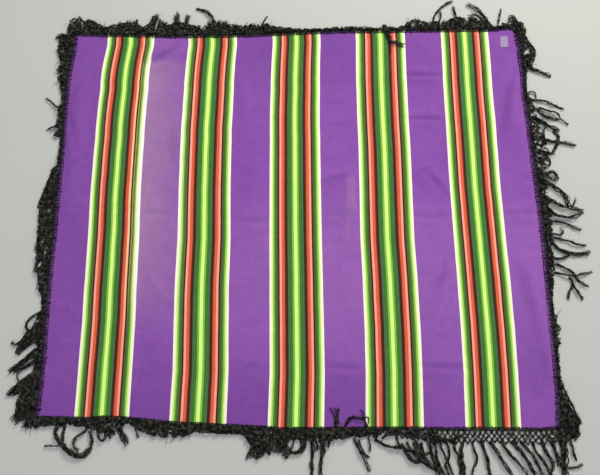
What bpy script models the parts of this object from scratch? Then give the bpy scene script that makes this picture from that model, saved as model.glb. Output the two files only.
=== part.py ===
"""Fringed shawl lying flat: a woven striped cloth, a small blank label sewn near one
corner, and a knotted header with its fringe along each of the four sides.

Metres, +Z up. +X runs across the stripes to the right, +Y along them to the back.
The origin is the middle of the cloth, on the surface that it lies on.
"""

import math

import bpy
import bmesh
from mathutils import Vector


# Cloth: its cut size, its thickness, and the gap kept between any two pieces.
CLOTH_WIDTH = 1.270
CLOTH_LENGTH = 1.080
CLOTH_THICK = 0.002
GAP = 0.0003

# Where the four corners of the cloth lie.
FRONT_LEFT = Vector((-0.631, -0.534))
FRONT_RIGHT = Vector((0.640, -0.547))
BACK_RIGHT = Vector((0.627, 0.539))
BACK_LEFT = Vector((-0.642, 0.543))

# How far each edge bows out of the straight line between its corners.
# Columns: share of the way along the edge, distance out.
EDGE_BOWS = {
    "front": ((0.00, 0.000), (0.08, 0.001), (0.17, -0.002), (0.26, 0.008), (0.37, 0.009),
              (0.46, 0.014), (0.64, 0.009), (0.76, 0.004), (0.90, 0.001), (1.00, 0.000)),
    "back": ((0.00, 0.000), (0.09, -0.004), (0.22, -0.008), (0.30, -0.002), (0.37, -0.008),
             (0.46, -0.002), (0.65, 0.000), (0.76, -0.005), (0.84, -0.003), (0.94, -0.005),
             (1.00, 0.000)),
    "left": ((0.00, 0.000), (0.30, 0.002), (0.66, 0.004), (0.80, 0.010), (0.90, 0.006),
             (1.00, 0.000)),
    "right": ((0.00, 0.000), (0.08, 0.008), (0.25, 0.011), (0.42, 0.016), (0.55, 0.014),
              (0.72, 0.011), (0.88, 0.006), (1.00, 0.000)),
}

# Largest folds: low rounded ridges, placed on the flat cloth, measured from its middle.
# Columns: start across, start along, end across, end along, height, half width.
FOLDS = (
    (-0.424, 0.455, -0.306, 0.523, 0.0050, 0.016),
    (-0.592, 0.020, -0.584, 0.430, 0.0030, 0.036),
    (-0.398, -0.130, -0.304, -0.270, 0.0022, 0.018),
    (0.158, -0.130, 0.164, 0.180, 0.0024, 0.022),
    (0.318, 0.404, 0.420, 0.400, 0.0026, 0.012),
    (0.600, 0.110, 0.586, 0.440, 0.0032, 0.030),
    (0.590, -0.480, 0.598, -0.090, 0.0034, 0.032),
)
FOLD_END = 0.080
COLUMN_PITCH = 0.052
ROW_PITCH = 0.060
LINES_IN_HALF_FOLD = 2
CLOSEST_FOLD_LINES = 0.0075
CLOSEST_LINES = 0.022

# Label, sewn flat on the cloth.
LABEL_MIDDLE = (0.597, 0.500)
LABEL_WIDTH = 0.022
LABEL_LENGTH = 0.033
LABEL_THICK = 0.0008

# Header: the flat knotted band that carries the fringe. The front and the back one run
# on round the corners, and narrow there.
HEADER_THICK = 0.0034
HEADER_PITCH = 0.030
CORNER_REACH = 0.024
CORNER_TAPER = 0.7

# Strands: thin towards the tip, off the floor, each raised and swayed a little
# differently from its neighbours.
STRAND_RADIUS = 0.0029
TIP_SHARE = 0.50
STRAND_PITCH = 0.0182
STRAND_STEP = 0.030
ROOT_SHARE = 0.5
SHORTEST_STRAND = 0.008
FLOOR_CLEAR = 0.0005
DRIFT_POWER = 1.6
LOFT = 0.0020
LOFT_TURN = math.radians(109)
SWAY = 0.0026
SWAY_TURN = math.radians(132)

# Fringe along each side. Reaches count from the cloth's edge. Where the reach is hardly
# more than the header, the strands are folded back under the edge and none shows.
# Columns: place along the side, header width, reach of the tip, drift of the tip along.
FRINGE = {
    "front": (
        (-0.652, 0.019, 0.030, -0.024), (-0.632, 0.018, 0.028, -0.010),
        (-0.600, 0.018, 0.024, 0.000), (-0.582, 0.018, 0.066, 0.008),
        (-0.560, 0.018, 0.088, 0.020), (-0.532, 0.018, 0.092, 0.022),
        (-0.502, 0.018, 0.082, 0.008), (-0.472, 0.018, 0.052, 0.002),
        (-0.412, 0.018, 0.060, 0.008), (-0.385, 0.018, 0.032, 0.000),
        (-0.345, 0.024, 0.044, 0.004), (-0.275, 0.024, 0.046, -0.004),
        (-0.250, 0.022, 0.030, 0.000), (-0.112, 0.022, 0.030, -0.004),
        (-0.086, 0.024, 0.074, -0.016), (0.024, 0.026, 0.066, -0.014),
        (0.052, 0.026, 0.128, -0.002), (0.077, 0.026, 0.124, -0.002),
        (0.098, 0.024, 0.040, 0.000), (0.138, 0.022, 0.030, 0.000),
        (0.158, 0.024, 0.104, 0.030), (0.190, 0.026, 0.056, 0.004),
        (0.216, 0.026, 0.046, 0.006), (0.282, 0.028, 0.078, 0.020),
        (0.316, 0.030, 0.116, 0.024), (0.356, 0.032, 0.138, 0.012),
        (0.460, 0.033, 0.142, 0.022), (0.560, 0.034, 0.142, 0.036),
        (0.622, 0.032, 0.138, 0.026), (0.643, 0.030, 0.112, 0.014),
        (0.661, 0.028, 0.070, 0.020),
    ),
    "back": (
        (-0.660, 0.024, 0.044, -0.012), (-0.640, 0.024, 0.062, 0.000),
        (-0.595, 0.020, 0.046, 0.004), (-0.550, 0.017, 0.024, 0.000),
        (-0.510, 0.018, 0.042, -0.004), (-0.480, 0.018, 0.052, -0.006),
        (-0.436, 0.016, 0.020, 0.000), (-0.412, 0.018, 0.070, 0.004),
        (-0.386, 0.018, 0.046, 0.004), (-0.360, 0.018, 0.030, 0.002),
        (-0.338, 0.018, 0.076, -0.004), (-0.316, 0.018, 0.066, 0.002),
        (-0.294, 0.018, 0.024, 0.000), (-0.258, 0.020, 0.032, 0.000),
        (-0.236, 0.020, 0.088, -0.044), (-0.208, 0.020, 0.046, 0.002),
        (-0.170, 0.020, 0.031, 0.000), (-0.100, 0.020, 0.034, 0.000),
        (-0.080, 0.020, 0.052, 0.006), (-0.056, 0.018, 0.030, 0.000),
        (0.060, 0.014, 0.018, 0.000), (0.110, 0.014, 0.023, 0.000),
        (0.205, 0.013, 0.024, 0.000), (0.236, 0.013, 0.018, 0.000),
        (0.262, 0.013, 0.026, 0.000), (0.300, 0.014, 0.020, 0.000),
        (0.352, 0.016, 0.044, -0.002), (0.384, 0.016, 0.028, 0.000),
        (0.408, 0.016, 0.088, 0.040), (0.434, 0.016, 0.038, 0.004),
        (0.462, 0.018, 0.076, 0.000), (0.520, 0.018, 0.044, 0.000),
        (0.546, 0.016, 0.080, -0.042), (0.566, 0.011, 0.016, 0.000),
        (0.586, 0.010, 0.062, 0.008), (0.604, 0.010, 0.016, 0.000),
        (0.636, 0.016, 0.040, -0.014),
    ),
    "left": (
        (-0.522, 0.026, 0.063, -0.016), (-0.492, 0.025, 0.056, -0.024),
        (-0.458, 0.024, 0.086, -0.020), (-0.430, 0.022, 0.054, -0.014),
        (-0.402, 0.022, 0.090, -0.020), (-0.380, 0.021, 0.050, -0.012),
        (-0.356, 0.020, 0.070, -0.020), (-0.330, 0.020, 0.092, -0.016),
        (-0.298, 0.020, 0.056, -0.004), (-0.262, 0.018, 0.024, 0.000),
        (-0.222, 0.018, 0.028, 0.000), (-0.160, 0.023, 0.050, 0.002),
        (0.030, 0.024, 0.058, 0.002), (0.110, 0.020, 0.036, -0.004),
        (0.136, 0.012, 0.015, 0.000), (0.210, 0.010, 0.013, 0.000),
        (0.230, 0.012, 0.034, -0.006), (0.248, 0.012, 0.056, -0.002),
        (0.288, 0.012, 0.028, 0.000), (0.308, 0.012, 0.066, 0.030),
        (0.330, 0.012, 0.016, 0.000), (0.385, 0.018, 0.030, -0.002),
        (0.434, 0.022, 0.044, -0.006), (0.460, 0.023, 0.036, 0.000),
        (0.490, 0.024, 0.050, 0.002), (0.528, 0.024, 0.060, 0.006),
    ),
    "right": (
        (-0.534, 0.026, 0.062, -0.024), (-0.490, 0.024, 0.048, -0.026),
        (-0.440, 0.020, 0.030, -0.016), (-0.400, 0.013, 0.016, 0.000),
        (-0.290, 0.013, 0.020, 0.000), (-0.226, 0.014, 0.018, 0.000),
        (-0.206, 0.018, 0.086, -0.028), (-0.184, 0.020, 0.106, -0.018),
        (-0.160, 0.022, 0.118, -0.006), (-0.140, 0.022, 0.082, 0.000),
        (-0.118, 0.022, 0.120, 0.006), (-0.098, 0.022, 0.112, 0.004),
        (-0.078, 0.022, 0.072, 0.002), (-0.058, 0.022, 0.106, 0.004),
        (-0.036, 0.022, 0.080, 0.000), (-0.012, 0.022, 0.108, 0.000),
        (0.010, 0.022, 0.114, -0.002), (0.034, 0.022, 0.096, 0.002),
        (0.060, 0.022, 0.078, -0.004), (0.084, 0.022, 0.054, 0.000),
        (0.156, 0.021, 0.058, 0.002), (0.181, 0.020, 0.124, -0.004),
        (0.206, 0.020, 0.076, 0.002), (0.228, 0.020, 0.092, 0.004),
        (0.250, 0.020, 0.114, -0.004), (0.270, 0.019, 0.076, 0.002),
        (0.292, 0.018, 0.108, -0.006), (0.314, 0.016, 0.050, 0.004),
        (0.342, 0.011, 0.024, 0.000), (0.394, 0.010, 0.014, 0.000),
        (0.414, 0.012, 0.086, -0.020), (0.436, 0.016, 0.042, 0.002),
        (0.480, 0.018, 0.052, 0.000), (0.528, 0.018, 0.030, 0.008),
    ),
}

# Strands that fell back over the cloth: the points each one passes, from its root.
OVER_CLOTH = {
    "front": (
        ((0.108, -0.566), (0.110, -0.552), (0.119, -0.536), (0.118, -0.518), (0.107, -0.505)),
        ((0.128, -0.566), (0.133, -0.551), (0.148, -0.534), (0.168, -0.527), (0.186, -0.529),
         (0.190, -0.516), (0.180, -0.507)),
    ),
    "back": (
        ((0.270, 0.547), (0.272, 0.535), (0.271, 0.518), (0.274, 0.503), (0.290, 0.498),
         (0.312, 0.490)),
    ),
    "left": (),
    "right": (),
}
OVER_RADIUS = 0.0020
OVER_TIP_SHARE = 0.6

# For each side: its way out from the cloth, its way along, and its two corners.
SIDES = {
    "front": (Vector((0.0, -1.0)), Vector((1.0, 0.0)), FRONT_LEFT, FRONT_RIGHT),
    "back": (Vector((0.0, 1.0)), Vector((1.0, 0.0)), BACK_LEFT, BACK_RIGHT),
    "left": (Vector((-1.0, 0.0)), Vector((0.0, 1.0)), FRONT_LEFT, BACK_LEFT),
    "right": (Vector((1.0, 0.0)), Vector((0.0, 1.0)), FRONT_RIGHT, BACK_RIGHT),
}


def clear_scene():
    """Remove the objects that the scene starts with."""
    for thing in list(bpy.data.objects):
        bpy.data.objects.remove(thing, do_unlink=True)


def new_collection(name):
    """Make a collection under the scene's own."""
    group = bpy.data.collections.new(name)
    bpy.context.scene.collection.children.link(group)
    return group


def make_material(name, colour, roughness, sheen):
    """A Principled material of the given linear colour."""
    material = bpy.data.materials.new(name)
    material.use_nodes = True
    shader = material.node_tree.nodes["Principled BSDF"]
    shader.inputs["Base Color"].default_value = (*colour, 1.0)
    shader.inputs["Roughness"].default_value = roughness
    shader.inputs["Metallic"].default_value = 0.0
    shader.inputs["Sheen Weight"].default_value = sheen
    material.diffuse_color = (*colour, 1.0)
    return material


def blend(rows, place):
    """The values of a table at a place, between the two rows on either side of it."""
    if place <= rows[0][0]:
        return rows[0][1:]
    for low, high in zip(rows, rows[1:]):
        if place <= high[0]:
            share = (place - low[0]) / (high[0] - low[0])
            return [a + (b - a) * share for a, b in zip(low[1:], high[1:])]
    return rows[-1][1:]


def even_steps(low, high, pitch):
    """Evenly spaced values from low to high, about one pitch apart."""
    count = max(1, round((high - low) / pitch))
    return [low + (high - low) * step / count for step in range(count + 1)]


def edge_point(side, share):
    """A point on one edge of the cloth, a share of the way along it."""
    out, _, start, end = SIDES[side]
    bow, = blend(EDGE_BOWS[side], share)
    return start.lerp(end, share) + out * bow


def cloth_point(across, along):
    """Where a point of the flat cloth, measured from its middle, lies on the surface."""
    u = across / CLOTH_WIDTH + 0.5
    v = along / CLOTH_LENGTH + 0.5
    lengthwise = edge_point("front", u).lerp(edge_point("back", u), v)
    crosswise = edge_point("left", v).lerp(edge_point("right", v), u)
    straight = FRONT_LEFT.lerp(FRONT_RIGHT, u).lerp(BACK_LEFT.lerp(BACK_RIGHT, u), v)
    return lengthwise + crosswise - straight


def cloth_lift(across, along):
    """How far the folds raise the cloth's underside off the surface there."""
    place = Vector((across, along))
    lift = 0.0
    for start, end, height, half_width in fold_lines():
        run = end - start
        inside = (place - start).dot(run) / run.length
        inside = min(inside, run.length - inside) / min(FOLD_END, run.length / 2)
        aside = abs((place - start).dot(run.orthogonal().normalized())) / half_width
        if aside < 1.0 and inside > 0.0:
            rise = 0.5 + 0.5 * math.cos(math.pi * aside)
            ramp = 0.5 - 0.5 * math.cos(math.pi * min(inside, 1.0))
            lift = max(lift, height * rise * ramp)
    return lift


def fold_lines():
    """Each fold as its two ends, its height and its half width."""
    return [(Vector(row[0:2]), Vector(row[2:4]), row[4], row[5]) for row in FOLDS]


def grid_lines(axis, size, pitch):
    """Places for the cloth's grid lines along one axis, with more where a fold rises."""
    lines = [-size / 2, size / 2]
    for start, end, _, half_width in fold_lines():
        steepness = abs((end - start).orthogonal().normalized()[axis])
        low, high = sorted((start[axis], end[axis]))
        margin = half_width * steepness
        step = min(pitch, half_width / LINES_IN_HALF_FOLD / max(steepness, 0.01))
        for place in even_steps(low - margin, high + margin, step):
            add_apart(lines, place, CLOSEST_FOLD_LINES)
    for place in even_steps(-size / 2, size / 2, pitch):
        add_apart(lines, place, CLOSEST_LINES)
    return sorted(lines)


def add_apart(places, place, closest):
    """Add a place to the list unless it is too close to one that is there."""
    if min(abs(place - other) for other in places) > closest:
        places.append(place)


COLUMNS = grid_lines(0, CLOTH_WIDTH, COLUMN_PITCH)
ROWS = grid_lines(1, CLOTH_LENGTH, ROW_PITCH)


def add_sheet(name, columns, rows, height, thick, material, group):
    """A solid sheet: a grid that follows the cloth's folds at a height, made thick upward."""
    bm = bmesh.new()
    bmesh.ops.create_grid(bm, x_segments=len(columns) - 1, y_segments=len(rows) - 1, size=0.5)
    for vert in bm.verts:
        across = columns[round((vert.co.x + 0.5) * (len(columns) - 1))]
        along = rows[round((vert.co.y + 0.5) * (len(rows) - 1))]
        vert.co = (*cloth_point(across, along), height + cloth_lift(across, along))
    mesh = bpy.data.meshes.new(name)
    bm.to_mesh(mesh)
    bm.free()
    mesh.materials.append(material)
    sheet = bpy.data.objects.new(name, mesh)
    group.objects.link(sheet)
    solid = sheet.modifiers.new("thickness", "SOLIDIFY")
    solid.thickness = thick
    solid.offset = 1.0
    solid.use_even_offset = True
    return sheet


def new_curve(name, routes, dimensions):
    """A curve with one straight-jointed run for each route of (x, y, z, radius share)."""
    curve = bpy.data.curves.new(name, "CURVE")
    curve.dimensions = dimensions
    for route in routes:
        spline = curve.splines.new("POLY")
        spline.points.add(len(route) - 1)
        for point, (x, y, z, radius) in zip(spline.points, route):
            point.co = (x, y, z, 1.0)
            point.radius = radius
    return curve


def mesh_from_curve(curve, place, group):
    """A closed mesh object made from a curve at a place, its caps welded on."""
    guide = bpy.data.objects.new(curve.name, curve)
    guide.location = place
    group.objects.link(guide)
    depsgraph = bpy.context.evaluated_depsgraph_get()
    mesh = bpy.data.meshes.new_from_object(guide.evaluated_get(depsgraph))
    bm = bmesh.new()
    bm.from_mesh(mesh)
    bmesh.ops.remove_doubles(bm, verts=bm.verts, dist=0.00001)
    bmesh.ops.recalc_face_normals(bm, faces=bm.faces)
    bm.to_mesh(mesh)
    bm.free()
    matrix = guide.matrix_world.copy()
    bpy.data.objects.remove(guide, do_unlink=True)
    solid = bpy.data.objects.new(curve.name, mesh)
    solid.matrix_world = matrix
    group.objects.link(solid)
    return solid


def header_outline(side):
    """The header's outline: along the cloth's edge, and back along its own outer edge."""
    out, run, start, end = SIDES[side]
    if side in ("front", "back"):
        shares = [place / CLOTH_WIDTH + 0.5 for place in COLUMNS]
        turn = run * CORNER_REACH
    else:
        shares = [place / CLOTH_LENGTH + 0.5 for place in ROWS]
        turn = None
    inner = [edge_point(side, share) + out * GAP for share in shares]
    outer = []
    for share in even_steps(0.0, 1.0, HEADER_PITCH / (end - start).length):
        edge = edge_point(side, share)
        header, _, _ = blend(FRINGE[side], edge.dot(run))
        outer.append(edge + out * header)
    if turn:
        inner = [inner[0] - turn, *inner, inner[-1] + turn]
        turn = turn * CORNER_TAPER
        outer = [outer[0] - turn, *outer, outer[-1] + turn]
    return inner + outer[::-1]


def add_header(side, group):
    """The flat band beside one edge of the cloth."""
    route = [(*point, 0.0, 1.0) for point in header_outline(side)]
    curve = new_curve("fringe_" + side, [route], "2D")
    curve.splines[0].use_cyclic_u = True
    curve.fill_mode = "BOTH"
    curve.extrude = HEADER_THICK / 2
    return mesh_from_curve(curve, (0.0, 0.0, HEADER_THICK / 2), group)


def strand_places(side):
    """Places along a side with a strand: each row of its table, and even ones between."""
    rows = FRINGE[side]
    places = []
    for low, high in zip(rows, rows[1:]):
        places += even_steps(low[0], high[0], STRAND_PITCH)[:-1]
    return places + [rows[-1][0]]


def strand_route(side, place, number):
    """The points of one strand, or none where the strands are tucked under."""
    header, reach, drift = blend(FRINGE[side], place)
    if reach - header < SHORTEST_STRAND:
        return []
    out, run, start, end = SIDES[side]
    share = (place - start.dot(run)) / (end - start).dot(run)
    root = edge_point(side, min(max(share, 0.0), 1.0))
    root += run * (place - root.dot(run))
    begin = header * ROOT_SHARE
    steps = 3 if reach - begin > 2 * STRAND_STEP else 2
    loft = LOFT * (0.5 + 0.5 * math.sin(LOFT_TURN * number))
    sway = SWAY * math.sin(SWAY_TURN * number)
    route = []
    for step in range(steps + 1):
        t = step / steps
        thin = 1.0 - (1.0 - TIP_SHARE) * t
        aside = drift * t ** DRIFT_POWER + sway * math.sin(2 * math.pi * t)
        point = root + out * (begin + (reach - begin) * t) + run * aside
        height = FLOOR_CLEAR + STRAND_RADIUS * thin + loft * math.sin(math.pi * t)
        route.append((*point, height, thin))
    return route


def over_route(points):
    """The points of a strand that lies on the cloth, rising to it from the header."""
    lying = CLOTH_THICK + FLOOR_CLEAR + OVER_RADIUS
    route = []
    for step, (x, y) in enumerate(points):
        thin = 1.0 - (1.0 - OVER_TIP_SHARE) * step / (len(points) - 1)
        height = HEADER_THICK if step == 0 else lying
        route.append((x, y, height, thin * OVER_RADIUS / STRAND_RADIUS))
    return route


def side_routes(side):
    """Every strand of one side."""
    routes = [strand_route(side, place, n) for n, place in enumerate(strand_places(side))]
    routes += [over_route(points) for points in OVER_CLOTH[side]]
    return [route for route in routes if route]


def add_strands(side, group):
    """All strands of one side, as one hidden mesh that the header is joined to."""
    curve = new_curve(side + "_strands", side_routes(side), "3D")
    curve.twist_mode = "Z_UP"
    curve.bevel_depth = STRAND_RADIUS
    curve.bevel_resolution = 0
    curve.use_fill_caps = True
    strands = mesh_from_curve(curve, (0.0, 0.0, 0.0), group)
    strands.hide_render = True
    strands.display_type = "WIRE"
    return strands


def add_fringe(side, material, group, cutters):
    """One side's header with its strands growing from it."""
    header = add_header(side, group)
    header.data.materials.append(material)
    joined = header.modifiers.new("strands", "BOOLEAN")
    joined.operation = "UNION"
    joined.solver = "EXACT"
    joined.object = add_strands(side, cutters)
    return header


def add_label(material, group):
    """The small label: a flat sheet that follows the cloth, a gap above it."""
    across = [LABEL_MIDDLE[0] + LABEL_WIDTH * share for share in (-0.5, 0.5)]
    along = [LABEL_MIDDLE[1] + LABEL_LENGTH * share for share in (-0.5, 0.5)]
    return add_sheet("label", across, along, CLOTH_THICK + GAP, LABEL_THICK, material, group)


def main():
    clear_scene()
    shawl = new_collection("fringed_shawl")
    cutters = new_collection("cutters")
    cloth = make_material("purple woven cloth", (0.27, 0.095, 0.41), 0.85, 0.3)
    add_sheet("shawl_panel", COLUMNS, ROWS, 0.0, CLOTH_THICK, cloth, shawl)
    for side in SIDES:
        yarn = make_material(side + " fringe black yarn", (0.012, 0.012, 0.011), 0.9, 0.2)
        add_fringe(side, yarn, shawl, cutters)
    tape = make_material("pale label tape", (0.42, 0.30, 0.48), 0.7, 0.0)
    add_label(tape, shawl)


main()
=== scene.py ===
"""Fringed shawl laid flat: a striped woven cloth with overcast edges and a small blank
label, and along each side a knotted net with its fringe of black yarn.

Metres, +Z up. +X runs across the stripes to the right, +Y along them to the back.
"""

import math
import random

import bmesh
import bpy
from mathutils import Euler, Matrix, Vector, noise


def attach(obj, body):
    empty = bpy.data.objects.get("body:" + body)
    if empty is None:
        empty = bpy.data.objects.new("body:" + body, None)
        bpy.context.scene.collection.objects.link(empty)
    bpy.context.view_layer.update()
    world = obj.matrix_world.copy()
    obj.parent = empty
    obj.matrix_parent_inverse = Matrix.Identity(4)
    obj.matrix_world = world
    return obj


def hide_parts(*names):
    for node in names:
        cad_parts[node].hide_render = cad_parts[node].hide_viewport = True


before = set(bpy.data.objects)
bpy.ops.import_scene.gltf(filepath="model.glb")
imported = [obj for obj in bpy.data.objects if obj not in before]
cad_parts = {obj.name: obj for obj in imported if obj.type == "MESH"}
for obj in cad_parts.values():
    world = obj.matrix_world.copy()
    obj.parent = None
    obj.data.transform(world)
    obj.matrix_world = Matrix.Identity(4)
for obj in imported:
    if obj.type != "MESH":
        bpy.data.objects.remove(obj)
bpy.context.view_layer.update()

# Without a seed, the noise that ruffles the net differs from run to run.
NOISE_SEED = 5
noise.seed_set(NOISE_SEED)


def table(scales, *numbers):
    """The rows of a table, with every column divided by its scale."""
    width = len(scales)
    return [tuple(number / scale for number, scale in zip(numbers[n:n + width], scales))
            for n in range(0, len(numbers), width)]


# Cloth: its cut size and thickness, and where its four corners lie.
CLOTH_WIDTH = 1.270
CLOTH_LENGTH = 1.080
CLOTH_THICK = 0.002
GAP = 0.0003
FRONT_LEFT = Vector((-0.631, -0.534))
FRONT_RIGHT = Vector((0.640, -0.547))
BACK_RIGHT = Vector((0.627, 0.539))
BACK_LEFT = Vector((-0.642, 0.543))

# How far each edge bows out of the straight line between its corners.
# Columns: percent of the way along the edge, distance out in millimetres.
EDGE_BOWS = {
    "front": table((100, 1000),
        0, 0,  6, 0,  10, 1,  13.5, -4,  17, -3,  22, 1.5,  26, 6,  34, 9,  44, 12.5,  48, 16,
        56, 13,  70, 8.5,  80, 8,  87, 5.5,  96, 5,  100, 1),
    "back": table((100, 1000),
        0, 1,  6, -2,  12, -5,  20, -9.5,  30, -11.5,  40, -11.5,  46, -8,  55, -5,  62, -3,
        72, -5,  84, -5,  94, -5.5,  100, 0),
    "left": table((100, 1000),
        0, 1,  12, -1.5,  20, 1,  30, 3.5,  60, 3.5,  70, 3.5,  80, 7.5,  86, 8.5,  92, 4,
        97, -2,  100, 0),
    "right": table((100, 1000),
        0, 1,  6, 10,  10, 10.5,  25, 11.5,  36, 14,  44, 16,  52, 15.5,  66, 10.5,  76, 8,
        81, 4,  86, 8.5,  92, 7.5,  100, 1),
}
# Those bows are of the line that the overcast stitches reach in to. The border they cover
# lies beyond it. The strip from this share of the way out takes up the border, and the
# right edge's bow.
BORDERS = {"front": 0.0, "back": 0.005, "left": 0.008, "right": 0.008}
OUTER_STRIP = 0.93

# Middle of each stripe band, as a share of the cloth's width, and half its own width.
# Columns: middle at the front, middle at the back, half width in millimetres.
BANDS = ((0.1294, 0.1336, 69.3), (0.3171, 0.3191, 70.8), (0.5071, 0.5110, 69.0),
         (0.6975, 0.7009, 70.1), (0.8808, 0.8893, 66.3))

# How far each band was pulled aside as the cloth was laid.
# Columns: place along in millimetres, then the shift across of each of the five bands in
# tenths of a millimetre.
PULLS = table((1000, 10000, 10000, 10000, 10000, 10000),
    -540, -20, 3, 3, -16, 12,  -410, -49, 8, 26, 12, 42,
    -300, -27, 0, 30, 27, 52,  -173, -42, -8, 24, 20, 38,
    -65, -61, 2, 6, -10, 18,  65, -108, -34, -6, 1, -10,
    173, -115, -44, -12, 8, -6,  250, -108, -42, -14, 2, -6,
    300, -88, -13, -4, 6, -8,  367, -51, 10, 17, 11, -6,
    432, -74, 4, 12, 8, 0,  540, -50, 0, 0, -4, -6)

# Largest folds: low rounded ridges, placed on the flat cloth, measured from its middle.
# Columns in millimetres: start across, start along, end across, end along, height in
# tenths of one, half width.
FOLDS = table((1000, 1000, 1000, 1000, 10000, 1000),
    -424, 455, -306, 523, 50, 16,
    -592, 20, -584, 430, 30, 36,
    -398, -130, -304, -270, 22, 18,
    158, -130, 164, 180, 24, 22,
    318, 404, 420, 400, 26, 12,
    600, 110, 586, 440, 32, 30,
    590, -480, 598, -90, 34, 32)
FOLD_END = 0.080

# Finer creases. A positive height is a soft ridge, a negative one a trough between two
# low swells. Columns in millimetres: start across, start along, end across, end along, how
# far the middle bows to the left of that line, height in tenths of one, half width.
CREASES = table((1000, 1000, 1000, 1000, 1000, 10000, 1000),
    -630, 10, -300, -8, 4, -12, 11,  -310, -6, 180, -4, -10, -12, 11,
    170, -2, 630, -4, -6, -12, 11,  -625, 10, -545, 4, 2, -24, 10,
    -400, -2, -300, -10, 2, -21, 10,  -155, -12, -60, -20, -2, -23, 10,
    85, 2, 185, -4, 3, -18, 10,  325, -10, 422, -8, -2, -13, 10,
    -622, 302, -582, 150, 4, -46, 13,  -614, -246, -598, -270, 0, 39, 12,
    -576, -254, -558, -278, 0, 31, 11,  -596, -344, -578, -362, 0, 32, 12,
    -404, 443, -312, 522, 4, -62, 11,  -392, 426, -322, 462, 2, 30, 12,
    -340, 300, -326, 120, 4, -26, 13,  -138, 430, -120, 230, 4, 26, 16,
    -104, 160, -120, 10, -3, -12, 12,  -150, -292, -70, -300, 5, -12, 11,
    85, 310, 182, 313, 2, -12, 10,  85, 257, 182, 252, -3, -16, 10,
    78, 88, 168, 114, 3, 32, 10,  80, -396, 186, -399, 2, -42, 10,
    302, 268, 436, 261, 4, -50, 9,  306, -392, 440, -398, 2, -50, 9,
    328, 90, 368, 128, 1, -24, 9,  350, 129, 420, 32, 6, -50, 9,
    397, -120, 364, -220, 3, -48, 8,  625, 452, 566, 196, -4, -52, 11,
    562, -100, 608, -450, 6, -54, 13,  556, -3, 640, -5, 1, -22, 9,
    600, -480, 604, -110, 4, 59, 24,  610, 90, 598, 470, -4, 55, 22,
    -598, -20, -590, 450, 4, 34, 24,  -150, -398, -62, -402, 2, -30, 12,
    302, 402, 434, 398, 0, -66, 8,  78, 84, 172, 108, 3, -26, 10)
CREASE_SWELL = 2.6
CREASE_MARGIN = 0.03
# Trough depth at which the painted shade and dust in a crease are darkest.
SHADE_AND_DUST_DEPTH = 0.0065
RIPPLE = 0.0015
RIPPLE_PITCH = 0.075
CLOTH_STEP = 0.0057

# Label, sewn flat on the cloth.
LABEL_MIDDLE = (0.596, 0.496)
LABEL_WIDTH = 0.0185
LABEL_LENGTH = 0.032
LABEL_LEAN = 0.08
LABEL_THICK = 0.0008
LABEL_STEP = 0.002

# For each side: its way out from the cloth, its way along, and its two corners.
SIDES = {
    "front": (Vector((0.0, -1.0)), Vector((1.0, 0.0)), FRONT_LEFT, FRONT_RIGHT),
    "back": (Vector((0.0, 1.0)), Vector((1.0, 0.0)), BACK_LEFT, BACK_RIGHT),
    "left": (Vector((-1.0, 0.0)), Vector((0.0, 1.0)), FRONT_LEFT, BACK_LEFT),
    "right": (Vector((1.0, 0.0)), Vector((0.0, 1.0)), FRONT_RIGHT, BACK_RIGHT),
}

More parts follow.
